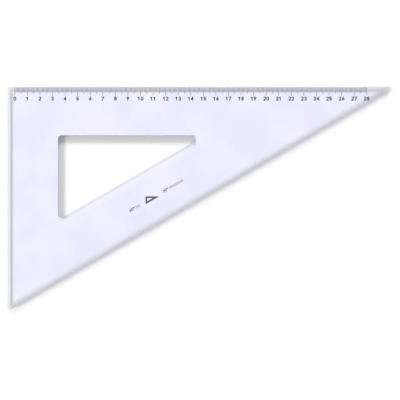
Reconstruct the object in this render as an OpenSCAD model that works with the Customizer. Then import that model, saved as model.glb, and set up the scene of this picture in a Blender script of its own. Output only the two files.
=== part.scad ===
// Clear drafting triangle with one graduated leg, a triangular cut-out and a printed scale.
// The plate lies flat on z = 0. The long leg runs along +X on the +Y side, the short leg along -Y on the -X side.

/* [Plate] */
// Length of the long, graduated leg, measured to the sharp corner of the tip
long_leg = 307; // [265:1:360]
// Angle at the tip, between the long leg and the long edge
tip_angle = 30; // [26:1:45]
// Thickness of the plate
plate_thickness = 2.5; // [1.8:0.1:4]
// Radius of the three outer corners
corner_radius = 1; // [0.4:0.1:3]

/* [Inking step] */
// Distance from an outer edge to the middle of the step's sloping wall
step_width = 2.2; // [1.6:0.1:4]
// Height of the outer edges above the paper
step_height = 0.7; // [0.3:0.1:1.2]
// Width of the sloping wall, seen from above
step_slope = 0.4; // [0.2:0.1:1.6]

/* [Cut-out] */
// Width of the frame along the short leg
short_leg_margin = 39.8; // [30:0.1:50]
// Width of the frame along the long leg
long_leg_margin = 38.3; // [28:0.1:48]
// Width of the frame along the long edge
long_edge_margin = 41.5; // [32:0.5:54]
// Radius of the cut-out's corners
cutout_radius = 3; // [1:0.1:6]

/* [Scale] */
// Distance from the short leg to the zero line
zero_offset = 5.6; // [4:0.1:10]
// Length of a millimetre line
millimetre_line = 3.9; // [2:0.1:4.4]
// Length of a half-centimetre line
half_centimetre_line = 5; // [3:0.1:6]
// Length of a centimetre line
centimetre_line = 6.5; // [5:0.1:8]
// Width of the graduation lines
line_width = 0.29; // [0.15:0.01:0.4]
// Distance from the edge of the long leg to the graduation lines
line_inset = 0.25; // [0.2:0.05:1]
// Thickness of the ink
ink_thickness = 0.05; // [0.02:0.01:0.2]

/* [Numerals] */
// Height of a digit
digit_height = 3.2; // [2.4:0.1:3.6]
// Width of a digit
digit_width = 2.1; // [1.6:0.1:2.2]
// Width of a digit's stroke
digit_stroke = 0.68; // [0.3:0.02:0.7]
// Gap between two digits
digit_gap = 0.3; // [0.2:0.05:0.8]
// Gap between a centimetre line and its numeral
numeral_gap = 0.8; // [0.5:0.05:2]
// Least distance from the last numeral to the long edge
numeral_edge_room = 0.25; // [0.2:0.05:2]

/* [Legend] */
// Height of the digits in the legend
legend_height = 2.4; // [1.6:0.1:3.2]
// Shift of the legend along the long edge, from the middle of the cut-out towards the tip
legend_shift = 5.2; // [-10:0.1:15]
// Shift of the legend from the middle of the frame towards the long edge
legend_drop = 1; // [0:0.1:5]
// Length of the set-square symbol along its long leg
symbol_leg = 11; // [8:0.1:14]
// Width of the set-square symbol's frame
symbol_frame = 1.4; // [0.6:0.05:1.5]
// Radius of the set-square symbol's corners
symbol_radius = 0.15; // [0.1:0.05:0.3]
// Gap between the symbol and the marks beside it
legend_gap = 4.4; // [2:0.1:9]
// Gap between an angle and its row of strokes
row_gap = 1; // [0.5:0.1:3]
// Number of strokes beside the foot's angle
foot_strokes = 4; // [2:1:9]
// Number of strokes beside the tip's angle
tip_strokes = 13; // [4:1:18]
// Distance from one stroke of a row to the next
stroke_pitch = 1; // [0.7:0.05:1.4]
// Width of a stroke of a row
stroke_width = 0.35; // [0.2:0.05:0.6]
// Height of a stroke of a row
stroke_height = 2.2; // [1:0.1:2.4]
// Radius of a degree sign's ring, to the middle of its stroke
degree_radius = 0.56; // [0.4:0.01:0.7]

/* [Hidden] */
$fn = 48;
overcut = 1;
// An arc runs this far past the edges that it joins
arc_overlap = 0.0005;
centimetre = 10;
millimetre = centimetre / 10;
plate_colour = [0.92, 0.93, 0.99, 0.7];
ink_colour = [0.2, 0.2, 0.23];

foot_angle = 90 - tip_angle;
short_leg = long_leg * tan(tip_angle);
long_edge = long_leg / cos(tip_angle);
along_edge = [cos(tip_angle), sin(tip_angle)];
across_edge = [sin(tip_angle), -cos(tip_angle)];

cutout_leg = inner_leg(long_leg, short_leg_margin, long_leg_margin, long_edge_margin);
cutout_corner = [short_leg_margin, -long_leg_margin];
cutout_middle = cutout_corner + cutout_leg / 2 * [1, -tan(tip_angle)];

// Size of the plate with its corners rounded
plate_width = long_leg + corner_radius - corner_radius / tan(tip_angle / 2);
plate_depth = short_leg + corner_radius - corner_radius / tan(foot_angle / 2);

// Half sizes of a digit, to the middle of its stroke
digit_x = (digit_width - digit_stroke) / 2;
digit_y = (digit_height - digit_stroke) / 2;
digit_pitch = digit_width + digit_gap;
lower_share = 0.54;
lower_bowl = lower_share * digit_y;
upper_bowl = digit_y - lower_bowl;
bowl_opening = 150;

// The scale ends at the last whole centimetre whose numeral clears the long edge
numeral_top = line_inset + centimetre_line + numeral_gap;
numeral_bottom = numeral_top + digit_height;
pair_width = digit_pitch + digit_width;
tip_room = (numeral_bottom + numeral_edge_room / cos(tip_angle)) / tan(tip_angle) + pair_width / 2;
last_centimetre = floor((long_leg - zero_offset - tip_room) / centimetre);

legend_scale = legend_height / digit_height;
legend_centre = cutout_middle + (long_edge_margin / 2 + legend_drop) * across_edge + legend_shift * along_edge;
angle_width = (2 * digit_pitch + 2 * degree_radius + digit_stroke) * legend_scale;
legend_start = symbol_leg / cos(tip_angle) / 2 + legend_gap;

numeral_nodes = [for (value = [0:last_centimetre]) str("numeral_", value)];

// Long leg of the triangle that is left inside a frame of three widths
function inner_leg(leg, short_leg_width, long_leg_width, long_edge_width) =
    leg - short_leg_width - (long_leg_width + long_edge_width / cos(tip_angle)) / tan(tip_angle);

// Length of a row of strokes in the legend
function row_length(strokes) = (strokes - 1) * stroke_pitch + stroke_width;

// Point on a circle
function on_circle(centre, radius, angle) = centre + radius * [cos(angle), sin(angle)];

// Angle of the point where a line from a point outside touches a circle, going anticlockwise
function touch_angle(centre, radius, point) =
    let (reach = point - centre)
    atan2(reach.y, reach.x) + acos(radius / norm(reach));

// Right triangle with round corners: right angle at the origin, long leg along +X, short leg along -Y
module rounded_triangle(leg, radius) {
    tip = [leg, 0];
    foot = [0, -leg * tan(tip_angle)];
    difference() {
        polygon([[0, 0], tip, foot]);
        rotate(-45)
            corner_cut(90, radius);
        translate(tip)
            rotate(180 + tip_angle / 2)
                corner_cut(tip_angle, radius);
        translate(foot)
            rotate(90 - foot_angle / 2)
                corner_cut(foot_angle, radius);
    }
}

// Material outside the arc that rounds a corner, with the corner at the origin and the triangle on its +X side
module corner_cut(angle, radius) {
    centre = [radius / sin(angle / 2), 0];
    touch = on_circle([0, 0], radius / tan(angle / 2), angle / 2);
    difference() {
        polygon([[-overcut, 0], touch, centre, [touch.x, -touch.y]]);
        translate(centre)
            circle(r = radius + arc_overlap);
    }
}

// Material taken away below an edge that runs along +X, with the plate on its -Y side
module step_cut(edge_length) {
    inner = -step_width - step_slope / 2;
    outer = -step_width + step_slope / 2;
    translate([-overcut, 0, 0])
        rotate([90, 0, 90])
            linear_extrude(edge_length + 2 * overcut)
                polygon([
                    [overcut, -overcut],
                    [inner, -overcut],
                    [inner, 0],
                    [outer, step_height],
                    [overcut, step_height]
                ]);
}

// Places the part with the middle of its box at the origin
module in_frame() {
    translate([-plate_width / 2, plate_depth / 2, 0])
        children();
}

// One layer of ink on top of the plate
module printed() {
    color(ink_colour)
        in_frame()
            translate([0, 0, plate_thickness])
                linear_extrude(ink_thickness)
                    children();
}

module plate() {
    color(plate_colour)
        in_frame()
            difference() {
                linear_extrude(plate_thickness)
                    rounded_triangle(long_leg, corner_radius);
                translate([cutout_corner.x, cutout_corner.y, -overcut])
                    linear_extrude(plate_thickness + 2 * overcut)
                        rounded_triangle(cutout_leg, cutout_radius);
                step_cut(long_leg);
                translate([0, -short_leg, 0])
                    rotate(90)
                        step_cut(short_leg);
                translate([long_leg, 0, 0])
                    rotate(180 + tip_angle)
                        step_cut(long_edge);
            }
}

// Graduation line at a distance from zero
module graduation(distance, length) {
    translate([zero_offset + distance - line_width / 2, -line_inset - length])
        square([line_width, length]);
}

module centimetre_lines() {
    printed()
        for (count = [0:last_centimetre])
            graduation(count * centimetre, centimetre_line);
}

module half_centimetre_lines() {
    printed()
        for (count = [1:last_centimetre])
            graduation((count - 1 / 2) * centimetre, half_centimetre_line);
}

module millimetre_lines() {
    printed()
        for (count = [1:last_centimetre], step = [1, 2, 3, 4, 6, 7, 8, 9])
            graduation(count * centimetre - step * millimetre, millimetre_line);
}

// Straight stroke with round ends
module stroke(start, end) {
    run = end - start;
    translate(start)
        rotate(atan2(run.y, run.x))
            translate([0, -digit_stroke / 2])
                square([norm(run), digit_stroke]);
    for (point = [start, end])
        translate(point)
            circle(d = digit_stroke);
}

// Closed round stroke
module ring(centre, radius) {
    translate(centre)
        difference() {
            circle(r = radius + digit_stroke / 2);
            circle(r = radius - digit_stroke / 2);
        }
}

// Round stroke with round ends, anticlockwise from one angle to another
module bow(centre, radius, from, to) {
    reach = 2 * (radius + digit_stroke);
    quarter = (to - from) / 4;
    intersection() {
        ring(centre, radius);
        polygon(concat(
            [centre],
            [for (count = [0:4]) on_circle(centre, reach, from + count * quarter)]
        ));
    }
    for (angle = [from, to])
        translate(on_circle(centre, radius, angle))
            circle(d = digit_stroke);
}

// Outline of a digit, centred on the origin
module digit(value) {
    upper = [0, digit_y - upper_bowl];
    lower = [0, lower_bowl - digit_y];
    top_left = [-digit_x, digit_y];
    top_right = [digit_x, digit_y];
    bottom_left = [-digit_x, -digit_y];
    bottom_right = [digit_x, -digit_y];
    round_top = [0, digit_y - digit_x];
    if (value == 0) {
        bow(round_top, digit_x, 0, 180);
        bow(-round_top, digit_x, 180, 360);
        for (side = [-digit_x, digit_x])
            stroke([side, round_top.y], [side, -round_top.y]);
    } else if (value == 1) {
        stroke([0, digit_y], [0, -digit_y]);
        stroke([0, digit_y], [-digit_x, digit_y - digit_x]);
    } else if (value == 2) {
        touch = touch_angle(round_top, digit_x, bottom_left);
        bow(round_top, digit_x, touch, bowl_opening);
        stroke(on_circle(round_top, digit_x, touch), bottom_left);
        stroke(bottom_left, bottom_right);
    } else if (value == 3) {
        bow(upper, upper_bowl, -90, bowl_opening);
        bow(lower, lower_bowl, -bowl_opening, 90);
    } else if (value == 4) {
        post = digit_x / 2;
        bar = -digit_y / 2;
        stroke([post, digit_y], [post, -digit_y]);
        stroke([post, digit_y], [-digit_x, bar]);
        stroke([-digit_x, bar], [digit_x, bar]);
    } else if (value == 5) {
        joint = on_circle(lower, lower_bowl, bowl_opening);
        bow(lower, lower_bowl, -bowl_opening, bowl_opening);
        stroke(joint, [joint.x, digit_y]);
        stroke([joint.x, digit_y], [-joint.x, digit_y]);
    } else if (value == 6) {
        tail = [digit_x / 2, digit_y];
        touch = touch_angle(lower, lower_bowl, tail);
        ring(lower, lower_bowl);
        stroke(on_circle(lower, lower_bowl, touch), tail);
    } else if (value == 7) {
        stroke(top_left, top_right);
        stroke(top_right, [-digit_x / 2, -digit_y]);
    } else if (value == 8) {
        ring(upper, upper_bowl);
        ring(lower, lower_bowl);
    } else {
        rotate(180)
            digit(6);
    }
}

// Whole number of one or two digits, centred on the origin
module number(value) {
    digits = value < 10 ? [value] : [floor(value / 10), value % 10];
    for (place = [0:len(digits) - 1])
        translate([(place - (len(digits) - 1) / 2) * digit_pitch, 0])
            digit(digits[place]);
}

module numeral(value) {
    printed()
        translate([zero_offset + value * centimetre, -numeral_top - digit_height / 2])
            number(value);
}

// Line of print along the long edge, centred on the legend
module legend() {
    printed()
        translate(legend_centre)
            rotate(tip_angle)
                children();
}

// Angle with its degree sign, starting at the origin and centred in height
module angle(value) {
    scale(legend_scale) {
        translate([pair_width / 2, 0])
            number(value);
        ring([2 * digit_pitch + degree_radius + digit_stroke / 2, digit_y - degree_radius], degree_radius);
    }
}

// Row of short upright strokes, starting at the origin
module stroke_row(strokes) {
    for (count = [0:strokes - 1])
        translate([count * stroke_pitch, -stroke_height / 2])
            square([stroke_width, stroke_height]);
}

module foot_angle_mark() {
    row_start = -legend_start - row_length(foot_strokes);
    legend() {
        translate([row_start - row_gap - angle_width, 0])
            angle(round(foot_angle));
        translate([row_start, 0])
            stroke_row(foot_strokes);
    }
}

module tip_angle_mark() {
    legend() {
        translate([legend_start, 0])
            angle(round(tip_angle));
        translate([legend_start + angle_width + row_gap, 0])
            stroke_row(tip_strokes);
    }
}

// Small set square with the plate's own angles, its long edge along the legend
module set_square_mark() {
    hole_leg = inner_leg(symbol_leg, symbol_frame, symbol_frame, symbol_frame);
    symbol_height = symbol_leg * sin(tip_angle);
    symbol_middle = symbol_leg / 2 * [1, -tan(tip_angle)] - symbol_height / 3 * across_edge;
    legend()
        rotate(-tip_angle)
            translate(-symbol_middle)
                difference() {
                    rounded_triangle(symbol_leg, symbol_radius);
                    translate([symbol_frame, -symbol_frame])
                        rounded_triangle(hole_leg, symbol_radius);
                }
}

plate();
centimetre_lines();
half_centimetre_lines();
millimetre_lines();
foot_angle_mark();
set_square_mark();
tip_angle_mark();
for (value = [0:last_centimetre])
    numeral(value);
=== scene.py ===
"""Looks of a clear plastic drafting triangle with a printed centimetre scale.

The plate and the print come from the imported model. This file rounds the plate's edges, gives every
piece its finish and sets a plain white stage with the camera straight above.
"""

import math
from collections import namedtuple

import bpy
from bpy.props import FloatProperty
from bpy.props import FloatVectorProperty
from bpy.props import IntProperty
from bpy.props import PointerProperty
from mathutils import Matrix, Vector


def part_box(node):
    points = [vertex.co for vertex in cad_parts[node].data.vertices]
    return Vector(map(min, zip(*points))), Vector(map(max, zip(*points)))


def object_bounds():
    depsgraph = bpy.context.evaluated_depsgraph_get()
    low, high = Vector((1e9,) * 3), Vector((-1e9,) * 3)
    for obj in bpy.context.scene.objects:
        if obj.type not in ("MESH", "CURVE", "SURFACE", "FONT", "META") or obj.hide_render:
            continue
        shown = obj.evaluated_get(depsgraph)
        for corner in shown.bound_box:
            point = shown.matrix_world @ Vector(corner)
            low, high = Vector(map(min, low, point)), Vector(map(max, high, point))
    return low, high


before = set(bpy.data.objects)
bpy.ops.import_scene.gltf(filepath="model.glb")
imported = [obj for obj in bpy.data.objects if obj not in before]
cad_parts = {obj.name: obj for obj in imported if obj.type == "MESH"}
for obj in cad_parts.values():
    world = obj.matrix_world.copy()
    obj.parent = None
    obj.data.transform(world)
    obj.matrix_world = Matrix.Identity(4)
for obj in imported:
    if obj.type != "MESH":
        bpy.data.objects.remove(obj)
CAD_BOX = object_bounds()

bl_info = {
    "name": "Drafting triangle",
    "version": (1, 0, 0),
    "blender": (4, 5, 0),
    "location": "3D View > Sidebar > Triangle",
    "description": "Finishes the clear plate and the print of a drafting triangle and sets its stage",
    "category": "Object",
}

MM = 0.001

# Names of the printed nodes
LINE_NODES = ("centimetre_lines", "half_centimetre_lines", "millimetre_lines")
LEGEND_NODES = ("foot_angle_mark", "set_square_mark", "tip_angle_mark")
NUMERAL_PREFIX = "numeral_"

# Outward direction of the long edge, which runs from the foot to the tip at 30 degrees
LONG_EDGE_OUT = Vector((math.sin(math.radians(30)), -math.cos(math.radians(30)), 0))

# Faces whose normal rises less than this are walls
WALL_RISE = 0.99
# Walls further from the outer edges than this belong to the cut-out
CUTOUT_INSET = 15 * MM

# Points closer than this are joined before the edges are rounded
WELD_GAP = 0.001 * MM
# Edges that turn by more than this are rounded, in so many steps
EDGE_TURN = math.radians(25)
EDGE_STEPS = 3

# Noise levels at which the plastic looks fully cool and fully warm
TINT_LEVELS = (0.35, 0.65)

# Direction of each set of handling marks, and its spacing against the first set's
MARK_SETS = ((math.radians(24), 1.0), (math.radians(-37), 1.7))
# Waves per metre along a mark
MARK_WAVES = 14
# Noise levels at which a mark begins and is full
MARK_LEVELS = (0.66, 0.72)
# What a mark adds to the roughness
MARK_ROUGHNESS = 0.10
# Height of a mark against the saw's waves: it lies below the face
MARK_HEIGHT = -0.5

# Slight swell of the moulded faces, with its waves per metre
SWELL_WAVES = 32
SWELL_DEPTH = 0.4 * MM
SWELL_STRENGTH = 0.12

# Waves that the saw leaves on the walls, about 0.35 mm apart
SAW_SCALE = 900
SAW_UNEVENNESS = 2.0
# Relief of the saw's waves and of the handling marks
CUT_DEPTH = 0.02 * MM
CUT_STRENGTH = 0.15

# Noise levels at which the ink lies thick and thin
INK_LEVELS = (0.35, 0.75)
# Range of the ink's roughness round its mean
INK_ROUGHNESS_RANGE = 0.3
# Refractive index and relief of the ink
INK_BENDING = 1.3
INK_DEPTH = 0.01 * MM
INK_STRENGTH = 0.2

PAPER_ROUGHNESS = 0.9
# The camera sees this many times as far as the plate
CAMERA_REACH = 10

# What the plate's material knows of a point: its place, tests that give 1 or 0, and lengths
Spot = namedtuple(
    "Spot",
    (
        "place",
        "is_wall",
        "is_entered",
        "on_long_leg",
        "on_long_edge",
        "in_rim",
        "in_cutout",
        "height",
        "inset",
        "from_corner",
        "from_tip",
        "from_end",
    ),
)


def length(name, description, default):
    """A length in metres, as the sidebar shows it."""
    return FloatProperty(
        name=name, description=description, default=default, min=0, unit="LENGTH", precision=5
    )


def angle(name, description, degrees):
    """An angle, given in degrees."""
    return FloatProperty(
        name=name, description=description, default=math.radians(degrees), subtype="ANGLE"
    )


def power(name, description, default):
    """The power of a lamp in watts."""
    return FloatProperty(name=name, description=description, default=default, min=0, unit="POWER")


def share(name, description, default):
    """A plain number from 0 to 1."""
    return FloatProperty(
        name=name, description=description, default=default, min=0, max=1, subtype="FACTOR"
    )


def levels(name, description, default):
    """Two shares, such as what passes a wall at its foot and at its head."""
    return FloatVectorProperty(
        name=name, description=description, default=default, min=0, max=1, size=2
    )


def colour(name, description, default):
    """A colour in linear light."""
    return FloatVectorProperty(
        name=name, description=description, default=default, min=0, max=1, size=3, subtype="COLOR"
    )


class PlateLook(bpy.types.PropertyGroup):
    """The clear moulded plate."""

    # Form and finish
    edge_round: length("Edge rounding", "Radius that moulding leaves on every edge", 0.15 * MM)
    lip: length("Lip width", "Width of the thin strip outside the inking step", 2.2 * MM)
    lip_rise: length("Lip rise", "Height of the thin strip above the paper", 0.7 * MM)
    bending: FloatProperty(
        name="Refractive index",
        description="How strongly the plastic bends light",
        default=1.49,
        min=1,
        max=2,
    )
    polish: share("Polish", "Roughness of the moulded faces", 0.03)
    sawn: share("Edge roughness", "Roughness of the trimmed edges", 0.65)
    hairline: length("Hairline spacing", "Rough distance between the fine handling marks", 1.1 * MM)

    # Colour of the plastic, with painted shade that darkens it along the outer edges
    cool_tint: colour("Cool tint", "Colour of the plastic where it looks bluish", (0.862, 0.918, 0.998))
    warm_tint: colour("Warm tint", "Colour of the plastic where it looks pinkish", (0.975, 0.962, 0.998))
    mottle: length("Mottle size", "Size of the soft patches in the tint", 34 * MM)
    # Painted shade: these darken the plastic's colour along the outer edges, across the lip and fading inside
    # the step
    painted_rim_shade_colour: colour("Rim tint", "Colour of the plastic along its outer edges", (0.925, 0.949, 0.968))
    painted_rim_shade_fade: length("Rim fade", "How far inside the step the deeper colour ends", 2.8 * MM)
    short_leg_painted_shade: levels(
        "Rim, short leg", "Depth of colour along the short leg, at the rim and at the step", (0.99, 0.84)
    )
    long_leg_painted_shade: levels(
        "Rim, long leg", "Depth of colour along the long leg, at the rim and at the step", (0.88, 0.85)
    )
    long_edge_painted_shade: levels(
        "Rim, long edge", "Depth of colour along the long edge, at the rim and at the step", (0.95, 0.90)
    )
    # Painted shade: darkens the lip further towards the narrow tip
    painted_tip_shade: share("Tip shade", "Depth of colour of the lip at the narrow tip", 0.87)
    painted_tip_shade_reach: length("Tip reach", "Length of the shaded tip", 26 * MM)

    # Light that falls through the flat faces on the paper
    lamp_tint: colour(
        "Tint on light", "What one face leaves of the light that falls through it", (0.940, 0.933, 0.987)
    )
    leg_lip: levels(
        "Lip, legs", "Light that passes the legs' lip, at its rim and at the step", (0.95, 0.95)
    )
    long_lip: levels(
        "Lip, long edge", "Light that passes the long edge's lip, at its rim and at the step", (0.52, 0.70)
    )

    # Light that falls through the outer walls
    outer_lit: levels(
        "Outer walls, lit", "Light that enters by the outer walls, at foot and head", (0.90, 0.90)
    )
    outer_far: levels(
        "Outer walls, far", "Light that leaves by the outer walls, at foot and head", (0.50, 0.95)
    )
    end_far: levels(
        "Sharp ends, far", "Least light that leaves at the sharp corners and further in", (1.00, 0.00)
    )
    end_reach: length("Sharp end reach", "How far from the sharp corners that ends", 8 * MM)

    # Light that falls through the wall of the inking step
    short_leg_step: levels(
        "Step, short leg", "Light that enters by the step of the short leg, at foot and head", (0.40, 0.21)
    )
    long_leg_step: levels(
        "Step, long leg", "Light that enters by the step of the long leg, at foot and head", (0.78, 0.60)
    )
    corner_step: share("Step, corner", "Light that enters by the step in the right-angled corner", 0.85)
    corner_reach: length("Corner reach", "Size of the paler square in the right-angled corner", 5.5 * MM)
    step_far: levels("Step, far", "Light that leaves by the step's wall, at foot and head", (0.95, 0.80))

    # Light that falls through the walls of the cut-out
    cutout_lit: levels(
        "Cut-out, lit", "Light that enters by the cut-out's walls, at foot and half way up", (0.70, 1.00)
    )
    cutout_foot: share("Cut-out, foot", "Light that leaves by the cut-out's walls at their foot", 0.26)
    cutout_far: levels(
        "Cut-out, far", "Light that leaves by the cut-out's walls, where least and at head", (0.00, 0.18)
    )
    cutout_dark: share(
        "Cut-out, darkest", "Where that light is least, as a share of the walls' height", 0.25
    )
    cutout_corner: share(
        "Cut-out, corner", "Least light that leaves by the cut-out's walls next to its right angle", 0.26
    )
    cutout_corner_reach: length(
        "Cut-out corner reach", "How far from the legs that right angle ends", 47 * MM
    )
    leak_tint: colour(
        "Leak tint", "Colour of the light that leaves by the cut-out's walls", (0.84, 0.86, 1.00)
    )


class PrintLook(bpy.types.PropertyGroup):
    """The printed scale, numerals and legend."""

    scale_full: colour("Scale, full", "Colour of the scale where its ink lies thick", (0.010, 0.010, 0.013))
    scale_thin: colour("Scale, thin", "Colour of the scale where its ink lies thin", (0.036, 0.036, 0.043))
    legend_full: colour(
        "Legend, full", "Colour of the legend where its ink lies thick", (0.085, 0.084, 0.105)
    )
    legend_thin: colour("Legend, thin", "Colour of the legend where its ink lies thin", (0.170, 0.168, 0.200))
    grain: length("Grain size", "Size of the grain in the ink", 0.35 * MM)
    sheen: share("Ink roughness", "Roughness of the dry ink", 0.5)


class StageLook(bpy.types.PropertyGroup):
    """The floor, the light and the camera."""

    floor_radius: length("Floor radius", "Radius of the round floor", 3.0)
    floor_points: IntProperty(
        name="Floor points", description="Points round the floor's rim", default=96, min=3
    )
    floor_gap: length("Floor gap", "Air between the floor and the plate", 0.02 * MM)
    floor_colour: colour("Floor colour", "Colour of the floor", (0.97, 0.97, 0.97))
    left_turn: angle("Left turn", "Direction of the left soft box, from the back towards the left", 90)
    left_rise: angle("Left rise", "Height of the left soft box above the horizon", 22)
    left_power: power("Left power", "Power of the left soft box", 2230)
    back_turn: angle("Back turn", "Direction of the back soft box, from the back towards the left", 0)
    back_rise: angle("Back rise", "Height of the back soft box above the horizon", 20)
    back_power: power("Back power", "Power of the back soft box", 2565)
    box_distance: length("Box distance", "Distance of the soft boxes", 14.0)
    box_width: length("Box width", "Width of a soft box", 5.0)
    box_height: length("Box height", "Height of a soft box", 3.0)
    fill: share("Fill", "Level of the even light from all round", 0.20)
    lens: FloatProperty(
        name="Lens", description="Focal length of the camera", default=200, min=1, unit="CAMERA"
    )
    picture_width: length(
        "Picture width", "Width of what the camera sees at the plate's top", 318.22 * MM
    )
    left_margin: length("Left margin", "Clear space left of the plate in the picture", 6.166 * MM)
    top_margin: length("Top margin", "Clear space above the plate in the picture", 69.25 * MM)


def add(tree, kind, settings=None, inputs=None):
    """A new node with its settings, its values and its incoming links."""
    made = tree.nodes.new(kind)
    for name, value in (settings or {}).items():
        setattr(made, name, value)
    for name, value in (inputs or {}).items():
        feed(tree, made.inputs[name], value)
    return made


def feed(tree, socket, value):
    """Links another node's output to a socket, or sets the socket's own value."""
    if isinstance(value, bpy.types.NodeSocket):
        tree.links.new(value, socket)
    else:
        socket.default_value = value


def calc(tree, operation, first, second):
    """The outcome of a sum on two numbers or sockets."""
    return add(tree, "ShaderNodeMath", {"operation": operation}, {0: first, 1: second}).outputs[0]


def scaled(tree, value, factor, offset):
    """A number times a factor, plus an offset."""
    settings = {"operation": "MULTIPLY_ADD"}
    return add(tree, "ShaderNodeMath", settings, {0: value, 1: factor, 2: offset}).outputs[0]


def pick(tree, test, without, having):
    """One number where a test is 0 and another where it is 1."""
    return add(tree, "ShaderNodeMix", None, {0: test, 2: without, 3: having}).outputs[0]


def slope(tree, value, start, end, ends):
    """A number that runs between two levels as a value runs from its start to its end."""
    bounds = {"Value": value, "From Min": start, "From Max": end, "To Min": ends[0], "To Max": ends[1]}
    return add(tree, "ShaderNodeMapRange", None, bounds).outputs["Result"]


def dot(tree, point, direction):
    """How far a point lies along a direction."""
    settings = {"operation": "DOT_PRODUCT"}
    return add(tree, "ShaderNodeVectorMath", settings, {0: point, 1: direction}).outputs["Value"]


def noise(tree, place, waves, detail):
    """A soft random number, with so many waves per metre."""
    inputs = {"Vector": place, "Scale": waves, "Detail": detail}
    return add(tree, "ShaderNodeTexNoise", None, inputs).outputs[0]


def bump(tree, height, depth, strength):
    """A node that gives a surface relief."""
    return add(tree, "ShaderNodeBump", None, {"Height": height, "Distance": depth, "Strength": strength})


def ramp(tree, factor, places, colours):
    """A colour that runs from one to another as a number runs between two places."""
    made = add(tree, "ShaderNodeValToRGB", None, {"Fac": factor})
    for element, place, value in zip(made.color_ramp.elements, places, colours):
        element.position = place
        element.color = value
    return made.outputs["Color"]


def blend(tree, factor, first, second, way="MIX"):
    """Two colours mixed by a number."""
    made = add(tree, "ShaderNodeMix", {"data_type": "RGBA", "blend_type": way})
    values = {"Factor": factor, "A": first, "B": second}
    for socket in made.inputs:
        if socket.enabled:
            feed(tree, socket, values[socket.name])
    return next(socket for socket in made.outputs if socket.enabled)


def rgba(value):
    """A property's colour with full alpha."""
    return (*value, 1.0)


def grey(level):
    """A grey with full alpha."""
    return (level, level, level, 1.0)


def new_material(name):
    """A material with an empty node tree and its output."""
    material = bpy.data.materials.new(name)
    material.use_nodes = True
    material.node_tree.nodes.clear()
    return material, material.node_tree, material.node_tree.nodes.new("ShaderNodeOutputMaterial")


def wear(piece, material):
    """Gives a piece one material."""
    piece.data.materials.clear()
    piece.data.materials.append(material)


def node_object(name):
    """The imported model's object of that name."""
    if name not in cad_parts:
        raise RuntimeError(f"the packed model has no {name}")
    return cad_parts[name]


def print_on(name, ink):
    """Inks a printed node. Its film is thin, so it throws no shadow through the plate."""
    piece = node_object(name)
    wear(piece, ink)
    piece.visible_shadow = False
    piece.visible_diffuse = False


def plate_spot(tree, look, plate):
    """Where a point of the plate lies, and which of its surfaces it is on."""
    low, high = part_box("plate")
    reach = max(LONG_EDGE_OUT.dot(vertex.co) for vertex in plate.data.vertices)
    place = add(tree, "ShaderNodeTexCoord").outputs["Object"]
    shape = add(tree, "ShaderNodeNewGeometry").outputs
    upward = dot(tree, shape["True Normal"], (0, 0, 1))
    rise = add(tree, "ShaderNodeMath", {"operation": "ABSOLUTE"}, {0: upward}).outputs[0]
    from_short_leg = calc(tree, "SUBTRACT", dot(tree, place, (1, 0, 0)), low.x)
    from_long_leg = calc(tree, "SUBTRACT", high.y, dot(tree, place, (0, 1, 0)))
    from_long_edge = calc(tree, "SUBTRACT", reach, dot(tree, place, LONG_EDGE_OUT))
    from_leg = calc(tree, "MINIMUM", from_short_leg, from_long_leg)
    from_tip = calc(tree, "SUBTRACT", high.x - low.x, from_short_leg)
    from_foot = calc(tree, "SUBTRACT", high.y - low.y, from_long_leg)
    inset = calc(tree, "MINIMUM", from_leg, from_long_edge)
    # Rays run from the paper to the lamp, so they meet the wall by which light enters from inside
    return Spot(
        place=place,
        is_wall=calc(tree, "LESS_THAN", rise, WALL_RISE),
        is_entered=shape["Backfacing"],
        on_long_leg=calc(tree, "LESS_THAN", from_long_leg, from_short_leg),
        on_long_edge=calc(tree, "LESS_THAN", from_long_edge, from_leg),
        in_rim=calc(tree, "LESS_THAN", inset, look.lip / 2),
        in_cutout=calc(tree, "GREATER_THAN", inset, CUTOUT_INSET),
        height=dot(tree, place, (0, 0, 1)),
        inset=inset,
        from_corner=calc(tree, "MAXIMUM", from_short_leg, from_long_leg),
        from_tip=from_tip,
        from_end=calc(tree, "MINIMUM", from_tip, from_foot),
    )


def across_lip(tree, look, spot, short_leg, long_leg, long_edge):
    """A level across the lip, with its own course along each outer edge."""
    on_short, on_long, on_edge = [
        slope(tree, spot.inset, 0.0, look.lip, course) for course in (short_leg, long_leg, long_edge)
    ]
    return pick(tree, spot.on_long_edge, pick(tree, spot.on_long_leg, on_short, on_long), on_edge)


def flat_light(tree, look, spot, top):
    """Light that the flat faces let through, with less under the lip."""
    lip = across_lip(tree, look, spot, look.leg_lip, look.leg_lip, look.long_lip)
    beneath = calc(tree, "LESS_THAN", spot.height, top / 2)
    in_lip = calc(tree, "MULTIPLY", beneath, calc(tree, "LESS_THAN", spot.inset, look.lip))
    return blend(tree, 1.0, rgba(look.lamp_tint), pick(tree, in_lip, 1.0, lip), "MULTIPLY")


def outer_light(tree, look, spot, top):
    """Light that the outer walls let through, with more at the sharp corners."""
    lit = slope(tree, spot.height, look.lip_rise, top, look.outer_lit)
    far = slope(tree, spot.height, look.lip_rise, top, look.outer_far)
    sharp = slope(tree, spot.from_end, 0.0, look.end_reach, look.end_far)
    return pick(tree, spot.is_entered, calc(tree, "MAXIMUM", far, sharp), lit)


def step_light(tree, look, spot):
    """Light that the wall of the inking step lets through."""
    on_short, on_long, far = [
        slope(tree, spot.height, 0.0, look.lip_rise, course)
        for course in (look.short_leg_step, look.long_leg_step, look.step_far)
    ]
    in_corner = calc(tree, "LESS_THAN", spot.from_corner, look.corner_reach)
    lit = pick(tree, in_corner, pick(tree, spot.on_long_leg, on_short, on_long), look.corner_step)
    return pick(tree, spot.is_entered, far, lit)


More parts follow.
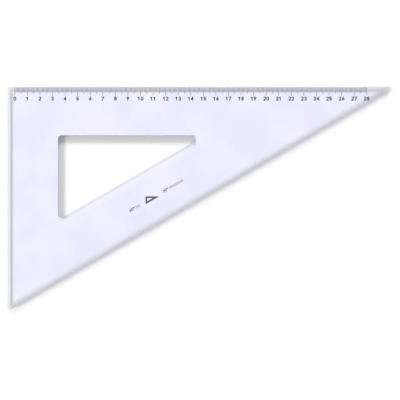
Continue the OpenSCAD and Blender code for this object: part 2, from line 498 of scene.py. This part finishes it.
def cutout_light(tree, look, spot, top):
    """Light that the walls of the cut-out let through: little of it leaves, and that is tinted."""
    darkest = top * look.cutout_dark
    below = slope(tree, spot.height, 0.0, darkest, (look.cutout_foot, look.cutout_far[0]))
    above = slope(tree, spot.height, darkest, top, look.cutout_far)
    in_corner = calc(tree, "LESS_THAN", spot.from_corner, look.cutout_corner_reach)
    corner = calc(tree, "MULTIPLY", in_corner, look.cutout_corner)
    far = calc(tree, "MAXIMUM", calc(tree, "MAXIMUM", below, above), corner)
    leak = blend(tree, 1.0, rgba(look.leak_tint), far, "MULTIPLY")
    lit = slope(tree, spot.height, 0.0, top / 2, look.cutout_lit)
    return blend(tree, spot.is_entered, leak, lit)


def lamp_light(tree, look, spot):
    """What each surface of the plate leaves of the light that falls through it on the paper."""
    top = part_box("plate")[1].z
    walls = pick(tree, spot.in_rim, step_light(tree, look, spot), outer_light(tree, look, spot, top))
    walls = blend(tree, spot.in_cutout, walls, cutout_light(tree, look, spot, top))
    return blend(tree, spot.is_wall, flat_light(tree, look, spot, top), walls)


def plate_tint_with_painted_shade(tree, look, spot):
    """Pale lavender in soft patches, with painted shade along the outer edges and at the tip."""
    patches = noise(tree, spot.place, 1 / look.mottle, 3.0)
    tint = ramp(tree, patches, TINT_LEVELS, (rgba(look.cool_tint), rgba(look.warm_tint)))
    # Painted shade along the outer edges, darker at the tip, mixed into the plastic's colour
    rim = across_lip(tree, look, spot, look.short_leg_painted_shade, look.long_leg_painted_shade, look.long_edge_painted_shade)
    # Painted shade that deepens towards the narrow tip
    tip = slope(tree, spot.from_tip, 0.0, look.painted_tip_shade_reach, (look.painted_tip_shade, 1.0))
    rim = blend(tree, 1.0, rgba(look.painted_rim_shade_colour), calc(tree, "MULTIPLY", rim, tip), "MULTIPLY")
    within = slope(tree, spot.inset, look.lip, look.lip + look.painted_rim_shade_fade, (0.0, 1.0))
    return blend(tree, within, rim, tint)


def hairlines(tree, place, turn, spacing):
    """Fine straight marks in one direction, 0 between them and 1 on them."""
    inputs = {"Vector": place, "Angle": turn}
    turned = add(tree, "ShaderNodeVectorRotate", {"rotation_type": "Z_AXIS"}, inputs).outputs[0]
    inputs = {"Vector": turned, "Scale": (MARK_WAVES, 1 / spacing, MARK_WAVES)}
    drawn = add(tree, "ShaderNodeMapping", None, inputs).outputs[0]
    return ramp(tree, noise(tree, drawn, 1.0, 2.0), MARK_LEVELS, (grey(0.0), grey(1.0)))


def plate_relief(tree, spot, marks):
    """The slight swell of the faces, with the handling marks and the saw's waves in it."""
    swell = bump(tree, noise(tree, spot.place, SWELL_WAVES, 1.0), SWELL_DEPTH, SWELL_STRENGTH)
    inputs = {"Vector": spot.place, "Scale": SAW_SCALE, "Distortion": SAW_UNEVENNESS}
    saw = add(tree, "ShaderNodeTexWave", {"bands_direction": "Z"}, inputs).outputs["Fac"]
    waves = calc(tree, "MULTIPLY", spot.is_wall, saw)
    cuts = calc(tree, "ADD", calc(tree, "MULTIPLY", marks, MARK_HEIGHT), waves)
    relief = bump(tree, cuts, CUT_DEPTH, CUT_STRENGTH)
    feed(tree, relief.inputs["Normal"], swell.outputs["Normal"])
    return relief.outputs["Normal"]


def plate_material(look, plate):
    """Clear tinted plastic. Light from the lamps passes it straight, by given levels for each surface."""
    material, tree, out = new_material("tinted_plastic")
    spot = plate_spot(tree, look, plate)
    # The plastic's colour carries the painted shade along its outer edges
    tint = plate_tint_with_painted_shade(tree, look, spot)
    marks = calc(
        tree,
        "MAXIMUM",
        *[hairlines(tree, spot.place, turn, ratio * look.hairline) for turn, ratio in MARK_SETS],
    )
    faces = scaled(tree, marks, MARK_ROUGHNESS, look.polish)
    plastic = add(
        tree,
        "ShaderNodeBsdfPrincipled",
        None,
        {
            "Base Color": tint,
            "Roughness": calc(tree, "MAXIMUM", faces, calc(tree, "MULTIPLY", spot.is_wall, look.sawn)),
            "IOR": look.bending,
            "Transmission Weight": 1.0,
            "Normal": plate_relief(tree, spot, marks),
        },
    )

    ray = add(tree, "ShaderNodeLightPath").outputs
    from_lamp = calc(tree, "MAXIMUM", ray["Is Shadow Ray"], ray["Is Diffuse Ray"])
    light = blend(tree, from_lamp, tint, lamp_light(tree, look, spot))
    passed = add(tree, "ShaderNodeBsdfTransparent", None, {"Color": light})

    # The step's wall is also passed straight where it is seen through the plate
    off_step = calc(tree, "MAXIMUM", spot.in_rim, spot.in_cutout)
    on_step = calc(tree, "GREATER_THAN", spot.is_wall, off_step)
    through_step = calc(tree, "MULTIPLY", on_step, ray["Is Transmission Ray"])
    straight = calc(tree, "MAXIMUM", from_lamp, through_step)
    both = add(tree, "ShaderNodeMixShader", None, {0: straight, 1: plastic.outputs[0], 2: passed.outputs[0]})
    tree.links.new(both.outputs[0], out.inputs["Surface"])
    return material


def ink_material(look, name, full, thin):
    """Printing ink, a little uneven in thickness."""
    material, tree, out = new_material(name)
    place = add(tree, "ShaderNodeTexCoord").outputs["Object"]
    grain = noise(tree, place, 1 / look.grain, 4.0)
    dry = add(
        tree,
        "ShaderNodeBsdfPrincipled",
        None,
        {
            "Base Color": ramp(tree, grain, INK_LEVELS, (rgba(full), rgba(thin))),
            "Roughness": scaled(tree, grain, INK_ROUGHNESS_RANGE, look.sheen - INK_ROUGHNESS_RANGE / 2),
            "IOR": INK_BENDING,
            "Normal": bump(tree, grain, INK_DEPTH, INK_STRENGTH).outputs["Normal"],
        },
    )
    tree.links.new(dry.outputs[0], out.inputs["Surface"])
    return material


def scale_ink(look):
    """The dark ink that the lines and the numerals share."""
    made = bpy.data.materials.get("scale_ink")
    return made or ink_material(look, "scale_ink", look.scale_full, look.scale_thin)


def paper_material(look):
    """Plain matt white paper."""
    material, tree, out = new_material("white_paper")
    paper = add(
        tree,
        "ShaderNodeBsdfPrincipled",
        None,
        {"Base Color": rgba(look.floor_colour), "Roughness": PAPER_ROUGHNESS, "Specular IOR Level": 0.0},
    )
    tree.links.new(paper.outputs[0], out.inputs["Surface"])
    return material


class FinishPlate(bpy.types.Operator):
    """Rounds the edges of the clear plate and gives it its plastic."""

    bl_idname = "drafting_triangle.finish_plate"
    bl_label = "Finish the clear plate"

    def execute(self, context):
        look = context.scene.triangle_plate
        plate = node_object("plate")
        weld = plate.modifiers.new("join_faces", "WELD")
        weld.merge_threshold = WELD_GAP
        soft = plate.modifiers.new("soft_edges", "BEVEL")
        soft.width = look.edge_round
        soft.segments = EDGE_STEPS
        soft.limit_method = "ANGLE"
        soft.angle_limit = EDGE_TURN
        wear(plate, plate_material(look, plate))
        return {"FINISHED"}


class InkLines(bpy.types.Operator):
    """Inks the graduation lines along the long leg."""

    bl_idname = "drafting_triangle.ink_lines"
    bl_label = "Ink the graduation lines"

    def execute(self, context):
        ink = scale_ink(context.scene.triangle_print)
        for name in LINE_NODES:
            print_on(name, ink)
        return {"FINISHED"}


class InkNumerals(bpy.types.Operator):
    """Inks the numerals under the centimetre lines."""

    bl_idname = "drafting_triangle.ink_numerals"
    bl_label = "Ink the numerals"

    def execute(self, context):
        ink = scale_ink(context.scene.triangle_print)
        names = [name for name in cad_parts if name.startswith(NUMERAL_PREFIX)]
        if not names:
            raise RuntimeError("the packed model has no numerals")
        for name in names:
            print_on(name, ink)
        return {"FINISHED"}


class InkLegend(bpy.types.Operator):
    """Inks the angle marks and the set-square sign, paler than the scale."""

    bl_idname = "drafting_triangle.ink_legend"
    bl_label = "Ink the legend"

    def execute(self, context):
        look = context.scene.triangle_print
        ink = ink_material(look, "legend_ink", look.legend_full, look.legend_thin)
        for name in LEGEND_NODES:
            print_on(name, ink)
        return {"FINISHED"}


class SetStage(bpy.types.Operator):
    """Lays the floor, hangs the light and sets the camera straight above the plate."""

    bl_idname = "drafting_triangle.set_stage"
    bl_label = "Set the stage"

    def execute(self, context):
        look = context.scene.triangle_stage
        self.lay_floor(context, look)
        self.hang_box(context, look, "left_box", look.left_turn, look.left_rise, look.left_power)
        self.hang_box(context, look, "back_box", look.back_turn, look.back_rise, look.back_power)
        self.fill_room(context, look)
        self.set_camera(context, look)
        context.scene.view_settings.view_transform = "Standard"
        return {"FINISHED"}

    def lay_floor(self, context, look):
        """A round sheet of white paper just under the plate."""
        radius = look.floor_radius
        step = 2 * math.pi / look.floor_points
        turns = [step * number for number in range(look.floor_points)]
        rim = [(radius * math.cos(turn), radius * math.sin(turn), 0.0) for turn in turns]
        mesh = bpy.data.meshes.new("floor")
        mesh.from_pydata(rim, [], [list(range(look.floor_points))])
        floor = bpy.data.objects.new("floor", mesh)
        floor.location.z = CAD_BOX[0].z - look.floor_gap
        context.scene.collection.objects.link(floor)
        wear(floor, paper_material(look))

    def hang_box(self, context, look, name, turn, rise, watts):
        """A low soft box that lights the plate and stays out of its reflections."""
        lamp = bpy.data.lights.new(name, "AREA")
        lamp.shape = "RECTANGLE"
        lamp.size = look.box_width
        lamp.size_y = look.box_height
        lamp.energy = watts
        box = bpy.data.objects.new(name, lamp)
        flat = math.cos(rise)
        towards = Vector((-math.sin(turn) * flat, math.cos(turn) * flat, math.sin(rise)))
        box.location = towards * look.box_distance
        box.rotation_mode = "QUATERNION"
        box.rotation_quaternion = (-towards).to_track_quat("-Z", "Y")
        box.visible_camera = False
        box.visible_glossy = False
        box.visible_transmission = False
        context.scene.collection.objects.link(box)

    def fill_room(self, context, look):
        """Even light from all round, seen as white."""
        world = bpy.data.worlds.new("white_room")
        world.use_nodes = True
        tree = world.node_tree
        tree.nodes.clear()
        ray = add(tree, "ShaderNodeLightPath").outputs
        seen = calc(tree, "MAXIMUM", ray["Is Camera Ray"], ray["Is Glossy Ray"])
        seen = calc(tree, "MAXIMUM", seen, ray["Is Transmission Ray"])
        level = pick(tree, seen, look.fill, 1.0)
        light = add(tree, "ShaderNodeBackground", None, {"Color": grey(1.0), "Strength": level})
        out = add(tree, "ShaderNodeOutputWorld")
        tree.links.new(light.outputs[0], out.inputs["Surface"])
        context.scene.world = world

    def set_camera(self, context, look):
        """A long lens straight above, framed by the margins round the plate."""
        low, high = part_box("plate")
        camera = bpy.data.cameras.new("camera")
        camera.lens = look.lens
        stand = bpy.data.objects.new("camera", camera)
        half = look.picture_width / 2
        distance = look.picture_width * look.lens / camera.sensor_width
        stand.location.x = low.x - look.left_margin + half
        stand.location.y = high.y + look.top_margin - half
        stand.location.z = high.z + distance
        camera.clip_end = CAMERA_REACH * distance
        context.scene.collection.objects.link(stand)
        context.scene.camera = stand


class TrianglePanel(bpy.types.Panel):
    """Lists the steps and the values of the drafting triangle."""

    bl_idname = "VIEW3D_PT_drafting_triangle"
    bl_label = "Drafting triangle"
    bl_space_type = "VIEW_3D"
    bl_region_type = "UI"
    bl_category = "Triangle"

    def draw(self, context):
        for step in STEPS:
            self.layout.operator(step.bl_idname)
        for name in LOOKS:
            values = getattr(context.scene, name)
            column = self.layout.column()
            for value in values.bl_rna.properties:
                if value.identifier not in ("rna_type", "name"):
                    column.prop(values, value.identifier)


LOOKS = {"triangle_plate": PlateLook, "triangle_print": PrintLook, "triangle_stage": StageLook}
STEPS = (FinishPlate, InkLines, InkNumerals, InkLegend, SetStage)


def register():
    """Adds the classes and the scene's values."""
    for made in (*LOOKS.values(), *STEPS, TrianglePanel):
        bpy.utils.register_class(made)
    for name, look in LOOKS.items():
        setattr(bpy.types.Scene, name, PointerProperty(type=look))


def unregister():
    """Takes the scene's values and the classes away again."""
    for name in LOOKS:
        delattr(bpy.types.Scene, name)
    for made in reversed((*LOOKS.values(), *STEPS, TrianglePanel)):
        bpy.utils.unregister_class(made)


def main():
    """Runs the steps in order."""
    register()
    bpy.ops.drafting_triangle.finish_plate()
    bpy.ops.drafting_triangle.ink_lines()
    bpy.ops.drafting_triangle.ink_numerals()
    bpy.ops.drafting_triangle.ink_legend()
    bpy.ops.drafting_triangle.set_stage()


if __name__ == "__main__":
    main()
